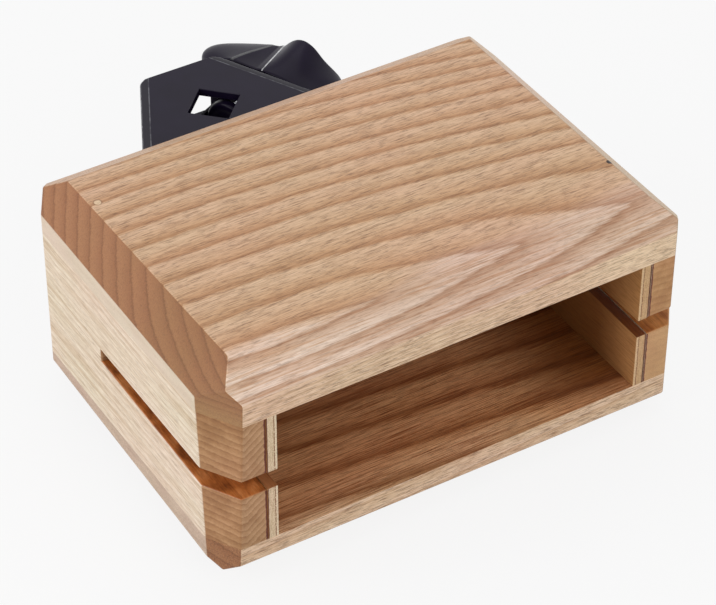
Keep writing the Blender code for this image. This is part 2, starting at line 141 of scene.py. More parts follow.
# Upper side of the wings at five places along the screw, measured from the knob's face. Each row
# runs from one tip over the low lobe's ridge, the valley and the sharp ridge to the other tip.
WING_ROWS_MM = [
    (0.1, [(19.5, 1.2), (18.6, 2.8), (16.5, 4.8), (14.0, 6.4), (11.8, 7.4), (11.0, 7.4),
           (7.0, 7.1), (2.5, 6.9), (0.45, 7.3), (0.10, 7.3), (-2.0, 7.1), (-4.4, 6.9),
           (-7.0, 6.5), (-9.8, 5.9), (-12.6, 5.1), (-15.6, 4.1), (-18.6, 2.6), (-19.5, 1.2)]),
    (3.4, [(26.0, 1.2), (25.0, 2.6), (22.0, 4.6), (16.0, 6.3), (11.0, 7.1), (10.2, 7.1),
           (6.8, 6.6), (3.0, 6.4), (0.85, 7.2), (0.50, 7.2), (-1.7, 7.8), (-4.2, 8.0),
           (-6.9, 7.9), (-9.7, 7.2), (-12.6, 6.2), (-17.0, 5.0), (-24.5, 3.0), (-26.0, 1.2)]),
    (8.4, [(26.5, 1.2), (25.4, 2.8), (21.8, 4.8), (15.0, 5.8), (9.4, 6.4), (8.6, 6.4),
           (6.2, 6.0), (3.6, 5.8), (1.50, 6.9), (1.10, 6.9), (-1.2, 8.4), (-3.8, 9.4),
           (-6.5, 9.5), (-9.4, 8.5), (-12.4, 6.7), (-16.5, 5.2), (-24.8, 2.9), (-26.5, 1.2)]),
    (12.4, [(22.5, 1.1), (21.5, 2.4), (18.0, 3.9), (12.5, 5.0), (8.0, 5.7), (7.2, 5.7),
            (5.8, 5.5), (4.1, 5.5), (2.10, 6.6), (1.65, 6.6), (-0.9, 8.9), (-3.5, 10.3),
            (-6.2, 10.4), (-9.1, 9.2), (-11.7, 6.8), (-15.0, 5.0), (-21.5, 2.7), (-22.8, 1.1)]),
    (16.5, [(16.0, 0.9), (14.8, 2.3), (12.0, 3.3), (9.0, 4.2), (6.6, 5.1), (5.8, 5.1),
            (5.2, 5.3), (4.2, 5.5), (2.70, 6.3), (2.10, 6.4), (-0.6, 9.3), (-3.2, 10.8),
            (-5.8, 10.8), (-8.8, 9.3), (-10.9, 6.8), (-13.2, 4.9), (-16.8, 2.6), (-18.3, 0.9)]),
]
WING_COLUMNS = len(WING_ROWS_MM[0][1])
SOFT_RIDGE = 4          # each ridge is a narrow strip between this column and the next
VALLEY = 7
SHARP_RIDGE = 8
CREASES = {SOFT_RIDGE: 0.4, SOFT_RIDGE + 1: 0.4, VALLEY: 0.6, SHARP_RIDGE: 0.8, SHARP_RIDGE + 1: 0.8}
END_CREASE = 0.85

# Growth rings and marks
TOP_RING_MM = 8.2
BOTTOM_RING_MM = 11.7
BACK_RING_MM = 7.0
WALL_RING_MM = 2.3
WALL_RING_SLOPES = {"left": (0.75, 0.22), "right": (0.10, 0.12)}      # down the end and down the facet
CORNER_CUT_MM = 7.8
KNOT_MM = (65.75, -26.2)            # on the top face
SPECK_MM = (-63.9, 30.7)

# Colours over one growth ring, from its start to the dark line at its end
FACE_RING = [(0.00, (204, 162, 126)), (0.10, (221, 186, 156)), (0.30, (219, 184, 154)),
             (0.60, (213, 174, 140)), (0.82, (203, 159, 121)), (0.94, (184, 137, 98)),
             (1.00, (189, 144, 106))]
STRIP_RING = [(0.00, (240, 210, 184)), (0.40, (238, 208, 179)), (0.80, (230, 198, 167)),
              (0.95, (216, 180, 148)), (1.00, (234, 204, 175))]
END_RING = [(0.00, (158, 110, 74)), (0.10, (168, 118, 81)), (0.50, (163, 113, 77)),
            (0.84, (155, 105, 70)), (0.94, (139, 91, 58)), (1.00, (149, 101, 67))]
WASHED_RING = [(0.00, (218, 193, 174)), (0.12, (240, 222, 208)), (0.35, (238, 218, 202)),
               (0.65, (225, 199, 178)), (0.88, (211, 180, 156)), (0.96, (198, 164, 138)),
               (1.00, (206, 175, 152))]
# Painted light: the mouth floor's rings are more saturated, for the warm light bounced from the wood round
# it.
FLOOR_RING_WITH_BOUNCE = [(0.00, (226, 176, 132)), (0.16, (255, 214, 172)), (0.45, (254, 210, 168)),
              (0.72, (238, 188, 144)), (0.90, (190, 136, 94)), (1.00, (206, 154, 110))]
# Painted shade: the back wall's inner face, deep in the mouth, has darker rings than the other boards.
SHADED_BACK_RING = [(0.00, (156, 98, 54)), (0.10, (168, 110, 64)), (0.60, (156, 98, 54)),
             (0.93, (128, 76, 38)), (1.00, (146, 90, 46))]
# Painted light: the walls' outsides are ash painted paler for the light and lacquer sheen from the left.
LIT_WALL_RING = [(0.00, (236, 221, 203)), (0.30, (241, 228, 212)), (0.75, (234, 218, 199)),
             (0.93, (227, 208, 185)), (1.00, (232, 215, 195))]
WALL_END_RING = {
    "left": [(0.00, (186, 145, 107)), (0.14, (198, 158, 120)), (0.50, (187, 146, 107)),
             (0.80, (179, 137, 98)), (0.94, (166, 124, 87)), (1.00, (174, 133, 96))],
    "right": [(0.00, (194, 147, 100)), (0.20, (200, 154, 106)), (0.60, (194, 147, 99)),
              (0.90, (184, 137, 90)), (1.00, (191, 144, 97))],
}

# Other colours of the wood
WHITE = (255, 255, 255)
PORE_COLOR = (98, 62, 38)
# Painted light: sawn ends paler than the chamfers' brown end grain, lit from the left and from the floor.
LIT_TOP_END_COLORS = ((214, 194, 172), (222, 204, 184))
LIT_BOTTOM_END_COLORS = ((190, 164, 146), (208, 184, 165))
KERF_COLORS = {"left": [(0.34, (134, 74, 32)), (0.50, (190, 116, 58)), (0.66, (214, 146, 88))],
               "right": [(0.34, (176, 108, 52)), (0.50, (206, 140, 78)), (0.66, (222, 160, 98))]}
CORE_COLORS = {"left": [(0.3, (212, 188, 156)), (0.7, (236, 216, 188))],
               "right": [(0.3, (196, 158, 114)), (0.7, (216, 182, 138))]}
VENEER_COLOR = {"left": (238, 222, 196), "right": (224, 194, 154)}
# The liners' kerf faces: the right one's dark brown is partly burnished wood and partly painted shade.
LINER_KERF_COLOR = {"left": (170, 112, 70), "right": (122, 66, 28)}

TOP_LOW, TOP_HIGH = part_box("top_board")
MOUTH_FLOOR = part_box("bottom_board")[1].z
WALL_INSIDE = -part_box("left_wall")[1].x
LINER_INSIDE = -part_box("left_liner")[1].x
BACK = TOP_HIGH.y
SIDE = TOP_HIGH.x
HEIGHT = TOP_HIGH.z
CEILING = TOP_LOW.z

JOINTS = {joint["name"]: joint for joint in frame["joints"]}
SCREW_ORIGIN = Vector(JOINTS["wing_turn"]["pos_m"])
SCREW_AXIS = Vector(JOINTS["wing_turn"]["axis"]).normalized()
UP = Vector((0, 0, 1))
SCREW_ACROSS = UP.cross(SCREW_AXIS)


def plate_reach():
    """How far the bracket's plates reach towards the knob from the rod's axis."""
    reach = 0.0
    for vert in frame["nodes"]["bracket_housing"].data.vertices:
        if vert.co.y > BACK + PLATES_FROM:
            reach = max(reach, (vert.co - SCREW_ORIGIN).dot(SCREW_AXIS))
    return reach


PLATE_REACH = plate_reach()


def screw_place(along, across, up):
    """A point given along the clamp screw, across it and up."""
    return SCREW_ORIGIN + SCREW_AXIS * along + SCREW_ACROSS * across + UP * up


def on_screw(name):
    """A clamp node's points as (along, radius, angle) round the screw's axis."""
    node = frame["nodes"][name]
    points = []
    for vert in node.data.vertices:
        offset = node.matrix_world @ vert.co - SCREW_ORIGIN
        across, up = offset.dot(SCREW_ACROSS), offset.dot(UP)
        points.append((offset.dot(SCREW_AXIS), Vector((across, up)).length, atan2(up, across)))
    return points


def linear(color):
    """An sRGB colour of 0 to 255 as the linear values that the shaders take."""
    values = []
    for channel in color:
        share = channel / 255
        values.append(share / 12.92 if share <= 0.04045 else ((share + 0.055) / 1.055) ** 2.4)
    return (*values, 1.0)


class Shading:
    """One material and short ways to add nodes to it. Values are numbers, colours or outputs."""

    def __init__(self, name):
        self.material = bpy.data.materials.new(name)
        self.material.use_nodes = True
        self.tree = self.material.node_tree
        self.shader = self.tree.nodes["Principled BSDF"]
        coordinates = self.tree.nodes.new("ShaderNodeTexCoord")
        self.normal = coordinates.outputs["Normal"]
        self.place = self.vector("SCALE", coordinates.outputs["Object"], scale=PER_MM)

    def feed(self, socket, value):
        if isinstance(value, bpy.types.NodeSocket):
            self.tree.links.new(value, socket)
        else:
            socket.default_value = value

    def vector(self, operation, first, second=(0.0, 0.0, 0.0), scale=1.0):
        node = self.tree.nodes.new("ShaderNodeVectorMath")
        node.operation = operation
        self.feed(node.inputs[0], first)
        self.feed(node.inputs[1], second)
        if operation == "SCALE":
            node.inputs["Scale"].default_value = scale
        return node.outputs["Value"] if operation == "DISTANCE" else node.outputs[0]

    def math(self, operation, first, second=0.0, third=0.0):
        node = self.tree.nodes.new("ShaderNodeMath")
        node.operation = operation
        for socket, value in zip(node.inputs, (first, second, third)):
            self.feed(socket, value)
        return node.outputs[0]

    def add(self, *values):
        total = values[0]
        for value in values[1:]:
            total = self.math("ADD", total, value)
        return total

    def times(self, *values):
        product = values[0]
        for value in values[1:]:
            product = self.math("MULTIPLY", product, value)
        return product

    def scaled(self, value, factor, offset=0.0):
        """The value times a factor, plus an offset."""
        return self.math("MULTIPLY_ADD", value, factor, offset)

    def size(self, value):
        return self.math("ABSOLUTE", value)

    def parts(self, vector):
        node = self.tree.nodes.new("ShaderNodeSeparateXYZ")
        self.feed(node.inputs[0], vector)
        return node.outputs

    def joined(self, x, y, z):
        node = self.tree.nodes.new("ShaderNodeCombineXYZ")
        for socket, value in zip(node.inputs, (x, y, z)):
            self.feed(socket, value)
        return node.outputs[0]

    def noise(self, vector, scale=1.0, detail=2.0, roughness=0.5):
        node = self.tree.nodes.new("ShaderNodeTexNoise")
        self.feed(node.inputs["Vector"], vector)
        node.inputs["Scale"].default_value = scale
        node.inputs["Detail"].default_value = detail
        node.inputs["Roughness"].default_value = roughness
        return node.outputs[0]

    def fade(self, value, low, high, start=0.0, end=1.0):
        """Runs smoothly from start at low to end at high."""
        node = self.tree.nodes.new("ShaderNodeMapRange")
        node.interpolation_type = "SMOOTHSTEP"
        for socket, number in zip(node.inputs, (value, low, high, start, end)):
            self.feed(socket, number)
        return node.outputs[0]

    def band(self, value, low, high, soft):
        """1 between low and high, and 0 outside them."""
        rising = self.fade(value, low - soft, low + soft)
        falling = self.fade(value, high + soft, high - soft)
        return self.times(rising, falling)

    def mix(self, factor, first, second, blend="MIX"):
        node = self.tree.nodes.new("ShaderNodeMix")
        node.data_type = "RGBA"
        node.blend_type = blend
        self.feed(node.inputs["Factor"], factor)
        sockets = [socket for socket in node.inputs if socket.type == "RGBA"]
        self.feed(sockets[0], first)
        self.feed(sockets[1], second)
        return next(socket for socket in node.outputs if socket.type == "RGBA")

    def paint(self, color, tone, amount):
        """Lay an sRGB tone over a colour."""
        return self.mix(amount, color, linear(tone))

    def darken(self, color, shade, amount=1.0):
        """Multiply a colour by a shade, which is linear values or an output."""
        return self.mix(amount, color, shade, "MULTIPLY")

    def ramp(self, factor, stops):
        """A colour ramp from (place, sRGB colour) pairs."""
        node = self.tree.nodes.new("ShaderNodeValToRGB")
        self.feed(node.inputs[0], factor)
        elements = node.color_ramp.elements
        while len(elements) < len(stops):
            elements.new(1.0)
        for element, (place, color) in zip(elements, stops):
            element.position = place
            element.color = linear(color)
        return node.outputs[0]

    def bump(self, height, strength, distance):
        node = self.tree.nodes.new("ShaderNodeBump")
        node.inputs["Strength"].default_value = strength
        node.inputs["Distance"].default_value = distance
        self.feed(node.inputs["Height"], height)
        self.feed(self.shader.inputs["Normal"], node.outputs[0])

    def finish(self, color, roughness, metallic=0.0, specular=0.5, coat=0.0):
        self.feed(self.shader.inputs["Base Color"], color)
        self.feed(self.shader.inputs["Roughness"], roughness)
        self.shader.inputs["Metallic"].default_value = metallic
        self.shader.inputs["Specular IOR Level"].default_value = specular
        self.shader.inputs["Coat Weight"].default_value = coat
        self.shader.inputs["Coat Roughness"].default_value = 0.25
        return self.material


class Wood:
    """Ash cut from a plank: growth rings, pores and fibres as a solid texture in millimetres."""

    def __init__(self, name, fibre):
        self.n = Shading(name)
        self.x, self.y, self.z = self.n.parts(self.n.place)
        normal = self.n.parts(self.n.normal)
        self.facing_right = normal[0]
        self.normal_x, self.normal_y, self.normal_z = [self.n.size(part) for part in normal]
        self.along, self.across = (self.x, self.y) if fibre == "X" else (self.y, self.x)
        self.end = self.normal_x if fibre == "X" else self.normal_y

    def sawn_slanting(self, start=0.0, end=1.0):
        """Runs to its end value on chamfers across the fibres, and on the sawn ends."""
        return self.n.fade(self.end, 0.35, 0.50, start, end)

    def sawn_straight(self, start=0.0, end=1.0):
        """Runs to its end value on the sawn ends."""
        return self.n.fade(self.end, 0.90, 0.97, start, end)

    def sawn_chamfer(self):
        """1 on the chamfers across the fibres alone."""
        return self.n.band(self.end, 0.40, 0.93, 0.05)

    def upright(self):
        """1 on a board's front and back."""
        return self.n.fade(self.normal_y, 0.80, 0.95)

    def grain(self, along_scale, across_scale, shift=0.0):
        """Coordinates drawn out along the fibres, for noise."""
        n = self.n
        return n.joined(n.scaled(self.along, along_scale, shift),
                        n.times(self.across, across_scale), n.times(self.z, across_scale))

    def phase(self, count, spacing, wave=1.0):
        """How far a point is through its growth ring, from 0 to 1. The count is whole at its line."""
        n = self.n
        broad = n.noise(self.grain(0.012, 0.045), detail=1.0)
        fine = n.noise(self.grain(0.07, 0.40), detail=2.0)
        dither = n.noise(self.grain(0.12, 2.2), detail=2.0, roughness=0.6)
        dither_size = min(2.1, 0.40 * spacing)
        for noise, size in ((broad, 3.4 * wave), (fine, 1.5 * wave), (dither, dither_size)):
            centred = n.math("SUBTRACT", noise, 0.5)
            count = n.scaled(centred, size / spacing, count)
        return n.math("FRACT", count)

    def fibres(self, across_scale, shift, dark, clear_from):
        """Long fibres to darken a colour with: dark in the thin ones, and clear between them."""
        n = self.n
        lines = n.noise(self.grain(0.05, across_scale, shift), detail=3.0, roughness=0.7)
        return n.ramp(lines, [(0.38, dark), (clear_from, WHITE)])

    def dressed(self, color, pore_depth=0.40, share=0.53, coat=0.0, shade=(206, 194, 181), calm=0.0):
        """The finish: broad tints, short pores and fine streaks over a colour, with a satin lacquer.

        The streaks darken the colour down to the shade. Calm, from 0 to 1, is where they are left out.
        """
        n = self.n
        spots = n.noise(self.grain(0.30, 3.3), detail=2.0, roughness=0.65)
        pores = n.fade(spots, share, share + 0.12)
        streak = n.noise(self.grain(0.18, 2.6, 9.0), detail=3.0, roughness=0.66)
        tint = n.noise(self.grain(0.02, 0.05, 4.0), detail=2.0)
        tinted = n.darken(color, n.ramp(tint, [(0.36, (255, 250, 248)), (0.64, (252, 253, 247))]))
        lively = n.math("SUBTRACT", 1.0, calm)
        dotted = n.paint(tinted, PORE_COLOR, n.times(pores, pore_depth, lively))
        streaks = n.ramp(streak, [(0.30, shade), (0.48, (238, 233, 227)), (0.66, WHITE)])
        lit = n.darken(dotted, streaks, lively)
        n.bump(n.scaled(pores, -1.0, n.times(streak, 0.6)), 0.35, 0.00012)
        return n.finish(lit, n.scaled(streak, 0.16, 0.42), specular=0.35, coat=coat)


def top_rings(w):
    """Ring count over the top board, as its lines run on the top and down the chamfers.

    On the top the lines are parabolas that open to the left. Down the chamfers they run more steeply
    towards the mouth, and there the rings are wider.
    """
    n = w.n
    ahead = n.math("MAXIMUM", n.math("SUBTRACT", 12.0, w.y), 0.0)
    steepness = n.scaled(n.times(ahead, ahead), 0.00072, 1.66)
    depth = n.math("SUBTRACT", HEIGHT / MM, w.z)
    level = n.scaled(depth, steepness, w.y)
    share = n.scaled(w.x, 1 / 120, 62 / 120)
    square = n.times(share, share)
    back_half = n.scaled(square, 12.5, level)
    front_half = n.math("DIVIDE", n.scaled(square, 11.3, level), n.scaled(square, 0.6, 1.0))
    place = n.math("MAXIMUM", back_half, front_half)
    past = n.math("SUBTRACT", 7.0, place)
    past = n.math("MINIMUM", past, n.scaled(past, 0.48, 26.0))
    bowed = n.scaled(n.times(past, past), -0.00035, 6.0)
    return n.scaled(past, 1 / TOP_RING_MM, bowed)


def bottom_rings(w):
    """Ring count over the bottom board: lines on the mouth's floor fall gently to the right."""
    n = w.n
    depth = n.math("SUBTRACT", MOUTH_FLOOR / MM, w.z)
    level = n.scaled(depth, 2.3, w.y)
    level = n.scaled(w.x, 0.11, level)
    return n.scaled(level, -1 / BOTTOM_RING_MM, -1.75)


def wall_rings(w, side):
    """Ring count over a side wall, as its lines run on its outside, its facets and its ends."""
    n = w.n
    end_slope, facet_slope = WALL_RING_SLOPES[side]
    inward = n.math("SUBTRACT", SIDE / MM - CORNER_CUT_MM, n.size(w.x))
    level = n.scaled(n.math("MAXIMUM", inward, 0.0), -end_slope, w.z)
    level = n.scaled(n.math("MAXIMUM", n.times(inward, -1.0), 0.0), -facet_slope, level)
    level = n.scaled(w.y, 0.015, level)
    return n.times(level, 1 / WALL_RING_MM)


def board_colors(w, phase, end_colors=LIT_TOP_END_COLORS):
    """Face, front strip and sawn ends of a board, chosen by the way that the surface faces."""
    n = w.n
    color = n.mix(w.upright(), n.ramp(phase, FACE_RING), n.ramp(phase, STRIP_RING))
    color = n.mix(w.sawn_slanting(), color, n.ramp(phase, END_RING))
    # Painted highlight: surfaces that face to the right are paler, for the grazing sheen on the right
    # chamfer.
    color = n.paint(color, (222, 190, 162), n.fade(w.facing_right, 0.35, 0.60))
    clouds = n.noise(n.joined(0.0, n.times(w.y, 0.06), n.times(w.z, 0.5)), detail=2.0)
    # Painted light: the sawn ends take the pale end colours.
    pale, paler = end_colors
    return n.mix(w.sawn_straight(), color, n.ramp(clouds, [(0.35, pale), (0.65, paler)]))


def washed_front(w, phase):
    """Where the top board is bleached, along its front, and its colour there."""
    n = w.n
    patches = n.noise(w.grain(0.03, 0.12, 2.0), detail=2.0)
    later = n.fade(w.x, -62.0, 20.0, 2.6, -4.0)
    amount = n.fade(n.add(n.times(patches, -12.0), later, w.y), -45.0, -52.0)
    amount = n.times(amount, n.fade(w.end, 0.50, 0.35), n.fade(w.normal_y, 0.95, 0.80))
    color = n.darken(n.ramp(phase, WASHED_RING), w.fibres(2.2, 7.0, (232, 214, 198), 0.52))
    return amount, n.darken(color, linear((240, 230, 226)), n.fade(w.x, -52.0, -8.0))


def add_marks(w, color):
    """The small dark knot at the right edge and the pale speck at the left one."""
    n = w.n
    knot = n.vector("DISTANCE", n.place, (*KNOT_MM, HEIGHT / MM))
    color = n.paint(color, (38, 24, 20), n.fade(knot, 1.15, 0.75))
    speck = n.vector("DISTANCE", n.place, (*SPECK_MM, HEIGHT / MM))
    color = n.paint(color, (120, 84, 60), n.times(n.fade(speck, 1.5, 1.2), 0.5))
    return n.paint(color, (232, 206, 174), n.fade(speck, 1.1, 0.9))


def make_top_wood():
    w = Wood("top_board_ash", "X")
    n = w.n
    phase = w.phase(top_rings(w), TOP_RING_MM)
    color = board_colors(w, phase)
    corner = n.times(w.sawn_chamfer(), n.fade(w.normal_z, 0.12, 0.02))
    color = n.paint(color, (176, 134, 93), n.times(corner, n.fade(w.z, 64.0, 57.0, 0.1, 0.9)))
    near_front, washed = washed_front(w, phase)
    color = n.mix(near_front, color, washed)
    color = n.paint(color, (250, 223, 193), n.times(w.upright(), n.fade(w.x, 15.0, 60.0, 0.0, 0.7)))
    dull = n.times(w.sawn_chamfer(), n.fade(w.y, 30.0, -35.0))
    color = n.darken(color, linear((241, 242, 231)), dull)
    color = add_marks(w, color)
    calm = n.add(w.sawn_slanting(0.0, 0.5), w.sawn_straight(0.0, 0.25), n.times(near_front, 0.45))
    return w.dressed(color, pore_depth=0.46, shade=(190, 176, 161), coat=0.18, calm=calm)


def make_bottom_wood():
    """The bottom board, whose upper face is the mouth's floor, with painted shade that darkens it towards the
    back and the right.
    """
    w = Wood("bottom_board_ash", "X")
    n = w.n
    phase = w.phase(bottom_rings(w), BOTTOM_RING_MM, wave=1.4)
    # Painted shade: the floor darkens deeper inside the mouth, towards its right and back, and grows warmer.
    deep = n.math("MAXIMUM", n.fade(w.x, 15.0, 54.0), n.fade(w.y, -28.0, 20.0))
    deep = n.scaled(deep, 0.65, n.fade(w.y, -54.0, -44.0, 0.0, 0.35))
    shadow = n.ramp(deep, [(0.0, WHITE), (0.35, (247, 228, 212)), (1.0, (150, 116, 78))])
    inside = n.darken(n.ramp(phase, FLOOR_RING_WITH_BOUNCE), shadow)
    inside = n.darken(inside, w.fibres(3.0, 5.0, (184, 150, 124), 0.54))
    at_floor = n.fade(w.z, MOUTH_FLOOR / MM - 1.0, MOUTH_FLOOR / MM - 0.5)
    floor = n.times(n.fade(w.normal_z, 0.90, 0.98), at_floor)
    color = n.mix(floor, board_colors(w, phase, LIT_BOTTOM_END_COLORS), inside)
    calm = n.add(w.sawn_straight(0.0, 0.6), n.times(floor, 0.35))
    return w.dressed(color, pore_depth=0.46, share=0.51, shade=(186, 164, 144), calm=calm)


def make_back_wood():
    """The back wall, in the dark behind the mouth, where its inner face has painted shade in its darker
    rings.
    """
    w = Wood("back_wall_ash", "X")
    n = w.n
    phase = w.phase(n.times(w.z, 1 / BACK_RING_MM), BACK_RING_MM)
    outside = n.fade(w.y, BACK / MM - 1.0, BACK / MM - 0.5)
    return w.dressed(n.mix(outside, n.ramp(phase, SHADED_BACK_RING), board_colors(w, phase)))


def make_wall_wood(side):
    """A side wall: pale ash with fibres from the mouth to the back, brown on its sawn ends."""
    w = Wood(side + "_wall_ash", "Y")
    n = w.n
    phase = w.phase(wall_rings(w, side), WALL_RING_MM, wave=0.65)
    tan = n.noise(w.grain(0.012, 0.40, 3.0), detail=3.0, roughness=0.6)
    # Painted light: the outside face's pale rings stand for the light from the left.
    face = n.paint(n.ramp(phase, LIT_WALL_RING), (213, 189, 160), n.fade(tan, 0.46, 0.66, 0.0, 0.75))
    end_color = n.ramp(phase, WALL_END_RING[side])
    facet = n.darken(end_color, linear((243, 236, 226)))
    upper = n.fade(w.z, CEILING / MM - 7.0, CEILING / MM)
    facet = n.darken(facet, linear((236, 228, 216)), upper)
    end_color = n.mix(n.fade(w.end, 0.90, 0.98), facet, end_color)
    clouds = n.noise(n.place, scale=0.16, detail=3.0, roughness=0.6)
    end_color = n.darken(end_color, n.ramp(clouds, [(0.36, (226, 216, 204)), (0.62, WHITE)]))
    if side == "right":
        end_color = n.paint(end_color, (212, 169, 124), n.fade(w.z, 38.0, 33.0, 0.0, 0.55))
    color = n.mix(n.fade(w.end, 0.22, 0.45), face, end_color)
    kerf = n.ramp(n.noise(w.grain(0.14, 0.22, 5.0), detail=3.0), KERF_COLORS[side])
    color = n.mix(n.fade(w.normal_z, 0.6, 0.9), color, kerf)
    stain = n.scaled(n.noise(n.place, scale=0.8, detail=2.0), 0.7, WALL_INSIDE / MM)
    glue = n.times(n.fade(n.size(w.x), n.math("ADD", stain, 0.1), stain), n.fade(w.end, 0.8, 0.9))
    color = n.paint(color, (100, 38, 20), glue)
    calm = n.fade(w.end, 0.22, 0.45, 0.0, 0.55)
    return w.dressed(color, pore_depth=0.26, share=0.58, calm=calm)


def make_plywood(side):
    """A liner: a pale veneer, a dark glue line and a pale core, seen on its edges."""
    w = Wood(side + "_plywood", "Y")
    n = w.n
    wobble = n.math("SUBTRACT", n.noise(n.place, scale=0.6), 0.5)
    depth = n.math("SUBTRACT", n.size(w.x), LINER_INSIDE / MM)
    depth = n.scaled(wobble, 0.30, depth)
    # Painted shade: the liner's inner face darkens towards the back of the mouth.
    inside = n.ramp(n.fade(w.y, -56.0, -34.0), [(0.0, (208, 156, 102)), (1.0, (146, 96, 52))])
    layers = n.noise(n.joined(n.times(w.x, 2.4), w.y, n.times(w.z, 0.35)), detail=3.0)
    core = n.ramp(layers, CORE_COLORS[side])
    cut = n.mix(n.fade(depth, 0.55, 0.75), linear(VENEER_COLOR[side]), core)
    gaps = n.fade(n.noise(n.joined(0.0, 0.0, n.times(w.z, 1.3)), detail=1.0), 0.36, 0.46)
    cut = n.paint(cut, (138, 90, 58), n.times(n.band(depth, 0.72, 0.98, 0.06), gaps))
    cut = n.paint(cut, (104, 42, 24), n.fade(depth, 2.80, 2.95))
    color = n.mix(n.fade(w.normal_x, 0.8, 0.5), inside, cut)
    # Kerf faces: partly burnished, and on the right liner partly painted shade.
    color = n.paint(color, LINER_KERF_COLOR[side], n.fade(w.normal_z, 0.6, 0.9))
    return w.dressed(color, pore_depth=0.16, share=0.60)


def satin_plastic(n):
    """Colour and roughness of moulded black plastic, with its fine grain as a bump."""
    grain = n.noise(n.place, scale=6.0, detail=2.0)
    cloud = n.noise(n.place, scale=0.10, detail=2.0)
    n.bump(grain, 0.16, 0.00005)
    color = n.ramp(cloud, [(0.35, (19, 12, 31)), (0.65, (23, 16, 36))])
    return color, n.scaled(grain, 0.14, 0.24)


def make_black_plastic():
    n = Shading("black_plastic")
    color, roughness = satin_plastic(n)
    return n.finish(color, roughness, specular=0.12)


def make_bracket_plastic():
    """The bracket's plastic, with painted sheen on the strips along the two slanting edges of its plates and
    a painted highlight line at their inner edge.
    """
    n = Shading("bracket_plastic")
    color, roughness = satin_plastic(n)
    x, y = n.parts(n.place)[:2]
    back = n.times(n.math("SUBTRACT", y, SCREW_ORIGIN.y / MM), SCREW_AXIS.y)
    outward = n.scaled(n.size(x), SCREW_AXIS.x, back)
    inward = n.math("SUBTRACT", PLATE_REACH / MM, outward)
    level = n.fade(n.size(n.parts(n.normal)[2]), 0.90, 0.96)
    strip = n.times(n.fade(inward, STRIP_WIDTH_MM + 0.1, STRIP_WIDTH_MM - 0.1), level)
    # Painted sheen: the strips are lighter.
    color = n.paint(color, (36, 34, 42), n.times(strip, 0.85))
    # Painted highlight: a thin bright line, broken in places, along the strips' inner edge.
    line = n.times(n.band(inward, STRIP_WIDTH_MM - 0.14, STRIP_WIDTH_MM + 0.16, 0.08), level)
    broken = n.fade(n.noise(n.place, scale=0.35, detail=2.0), 0.38, 0.60, 0.25, 1.0)
    color = n.paint(color, (104, 104, 110), n.times(line, broken))
    return n.finish(color, roughness, specular=0.175)


def make_highlight_plastic(name, dark, light):
    """The same plastic, lighter and glossier, as a painted highlight along an edge or a ridge."""
    n = Shading(name)
    highlight_noise = n.noise(n.place, scale=0.5, detail=3.0)
    color = n.ramp(highlight_noise, [(0.32, dark), (0.68, light)])
    return n.finish(color, n.scaled(highlight_noise, 0.1, 0.18), specular=0.5)


def make_steel():
    """Zinc plated steel with fine turning marks."""
    n = Shading("steel")
    marks = n.noise(n.place, scale=9.0, detail=3.0)
    color = n.ramp(marks, [(0.3, (176, 178, 184)), (0.7, (208, 209, 213))])
    n.bump(marks, 0.12, 0.00004)
    return n.finish(color, n.scaled(marks, 0.18, 0.22), metallic=1.0)


def add_object(name, bm, material, slot, body, *nodes):
    """Turn a bmesh into a smooth-shaded piece that rides on a body and stands for CAD nodes."""
    mesh = bpy.data.meshes.new(name)
    bmesh.ops.recalc_face_normals(bm, faces=bm.faces[:])
    bm.to_mesh(mesh)
    bm.free()
    mesh.materials.append(material)
    mesh.shade_smooth()
    mesh.set_sharp_from_angle(angle=SMOOTHING_ANGLE)
    piece = bpy.data.objects.new(name, mesh)
    bpy.context.scene.collection.objects.link(piece)
    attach(piece, body)
    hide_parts(*nodes)
    return piece


def weigh_normals(piece):
    """Keep large faces flat and let the shading turn only in the rounded edges."""
    modifier = piece.modifiers.new("flat_faces", "WEIGHTED_NORMAL")
    modifier.keep_sharp = True


def node_mesh(name):
    """A CAD node's shape with its flat faces whole again."""
    bm = bmesh.new()
    bm.from_mesh(frame["nodes"][name].data)
    bmesh.ops.remove_doubles(bm, verts=bm.verts, dist=MERGE_WITHIN)
    bmesh.ops.dissolve_limit(bm, angle_limit=FLAT_WITHIN, verts=bm.verts[:], edges=bm.edges[:])
    return bm


def on_plane(vert, axis, place):
    return abs(vert.co[axis] - place) < ON_PLANE_WITHIN


def move_plane(bm, axis, old, new):
    """Move the points that lie on one plane of the mesh to another."""
    for vert in bm.verts:
        if on_plane(vert, axis, old):
            vert.co[axis] = new


def wedged_mesh(name):
    """A node's shape, stretched over its glue lines to the boards below and above."""
    low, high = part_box(name)
    bm = node_mesh(name)
    move_plane(bm, AXIS_Z, low.z, MOUTH_FLOOR)
    move_plane(bm, AXIS_Z, high.z, CEILING)
    return bm


def sharp_edges(bm, sharper_than, keep):
    """The outward edges, but not those on the planes that are glued to a neighbour."""
    edges = []
    for edge in bm.edges:
        if len(edge.link_faces) != 2 or edge.calc_face_angle_signed(0.0) < sharper_than:
            continue
        if any(all(on_plane(vert, axis, place) for vert in edge.verts) for axis, place in keep):
            continue
        edges.append(edge)
    return edges


def bevel(bm, edges, width, segments=3, clamped=True, edge_slot=-1):
    bmesh.ops.bevel(bm, geom=edges, offset=width, segments=segments, profile=0.5, affect="EDGES",
                    clamp_overlap=clamped, material=edge_slot)


def round_edges(bm, width, keep=(), segments=3):
    bevel(bm, sharp_edges(bm, ROUNDED_FROM, keep), width, segments)


